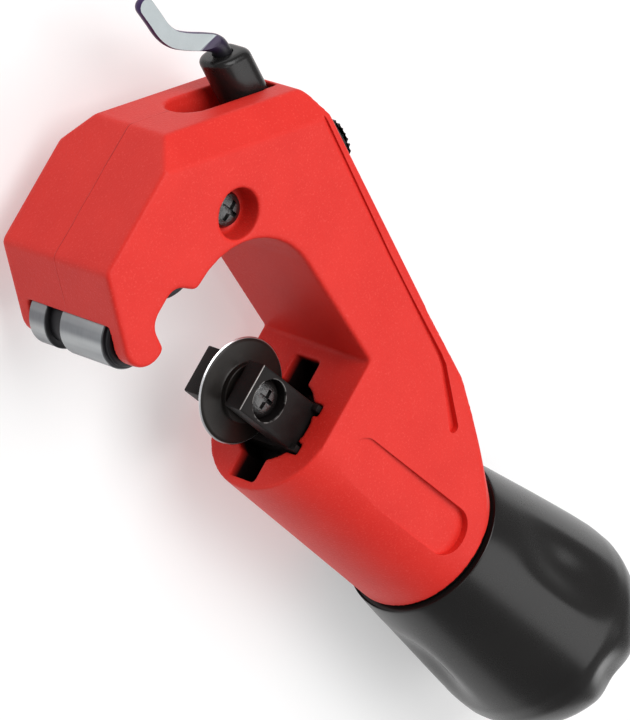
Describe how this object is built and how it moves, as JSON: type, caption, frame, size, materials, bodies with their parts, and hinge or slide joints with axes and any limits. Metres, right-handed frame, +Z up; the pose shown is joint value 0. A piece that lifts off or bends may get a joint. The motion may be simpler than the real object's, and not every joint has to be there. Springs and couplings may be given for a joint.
{
  "type": "pipe cutter",
  "caption": "Hand pipe cutter: red C-shaped frame with jaw rollers, a wheel carriage fed by a lobed black handle, and a slide-out deburring blade.",
  "frame": {"origin": "bottom centre of the bounding box, with the tool lying on its side", "axes": "+X along the feed spindle from the handle to the jaw, +Y out of the C opening, +Z up through the tool's thickness"},
  "size_m": [0.1708, 0.0657, 0.04],
  "materials": {
    "red_paint": "satin, fine grain",
    "red_plastic": "gloss",
    "black_plastic": "gloss",
    "black_oxide": "black oxide",
    "ground_steel": "ground",
    "wheel_steel": "blackened, edge ground bright",
    "spring_steel": "plain",
    "blade_steel": "temper blue-purple, ground flat",
    "brass": "turned"
  },
  "bodies": {
    "frame": {"frame_casting": "red_paint", "roller_pin_front": "spring_steel", "roller_pin_rear": "spring_steel", "nut_retaining_pin_front": "spring_steel", "nut_retaining_pin_rear": "spring_steel", "thrust_washer": "black_oxide", "detent_spring": "spring_steel", "clamp_screw": "black_oxide"},
    "front_roller": {"roller_front": "ground_steel"},
    "rear_roller": {"roller_rear": "ground_steel"},
    "handle": {"handle_knob": "black_plastic", "spindle_nut": "brass"},
    "cap": {"end_cap": "red_plastic", "spare_wheel": "wheel_steel"},
    "carriage_group": {"carriage": "black_oxide", "wheel_axle_screw": "black_oxide", "feed_spindle": "spring_steel", "spindle_pin": "spring_steel", "spindle_stop_ring": "spring_steel"},
    "wheel": {"cutting_wheel": "wheel_steel"},
    "deburrer": {"deburr_slider": "black_plastic", "thumb_button": "black_plastic", "blade_pin": "spring_steel"},
    "blade": {"deburr_blade": "blade_steel"}
  },
  "joints": [
    {"name": "knob_turn", "type": "hinge", "parent": "frame", "child": "handle", "pos_m": [-0.0334, 0.0129, 0.02], "axis": [1, 0, 0], "range_deg": [-2088, 3564]},
    {"name": "carriage_feed", "type": "slide", "parent": "frame", "child": "carriage_group", "axis": [1, 0, 0], "range_m": [-0.0117, 0.0199]},
    {"name": "wheel_spin", "type": "hinge", "parent": "carriage_group", "child": "wheel", "pos_m": [0.0219, 0.0129, 0.0198], "axis": [0, 0, 1], "continuous": true},
    {"name": "front_roller_spin", "type": "hinge", "parent": "frame", "child": "front_roller", "pos_m": [0.0593, 0.0196, 0.02], "axis": [0, 0, 1], "continuous": true},
    {"name": "rear_roller_spin", "type": "hinge", "parent": "frame", "child": "rear_roller", "pos_m": [0.0593, 0.0062, 0.02], "axis": [0, 0, 1], "continuous": true},
    {"name": "deburrer_slide", "type": "slide", "parent": "frame", "child": "deburrer", "axis": [-0.9434, 0.3317, 0], "range_m": [0, 0.025]},
    {"name": "blade_swivel", "type": "hinge", "parent": "deburrer", "child": "blade", "pos_m": [0.0571, -0.02819, 0.02], "axis": [0.9434, -0.3317, 0], "range_deg": [-15, 15]},
    {"name": "cap_pull", "type": "slide", "parent": "handle", "child": "cap", "axis": [-1, 0, 0], "range_m": [0, 0.02]}
  ],
  "couplings": [
    {"joint": "carriage_feed", "follows": "knob_turn", "m_per_rad": 0.00031831}
  ]
}
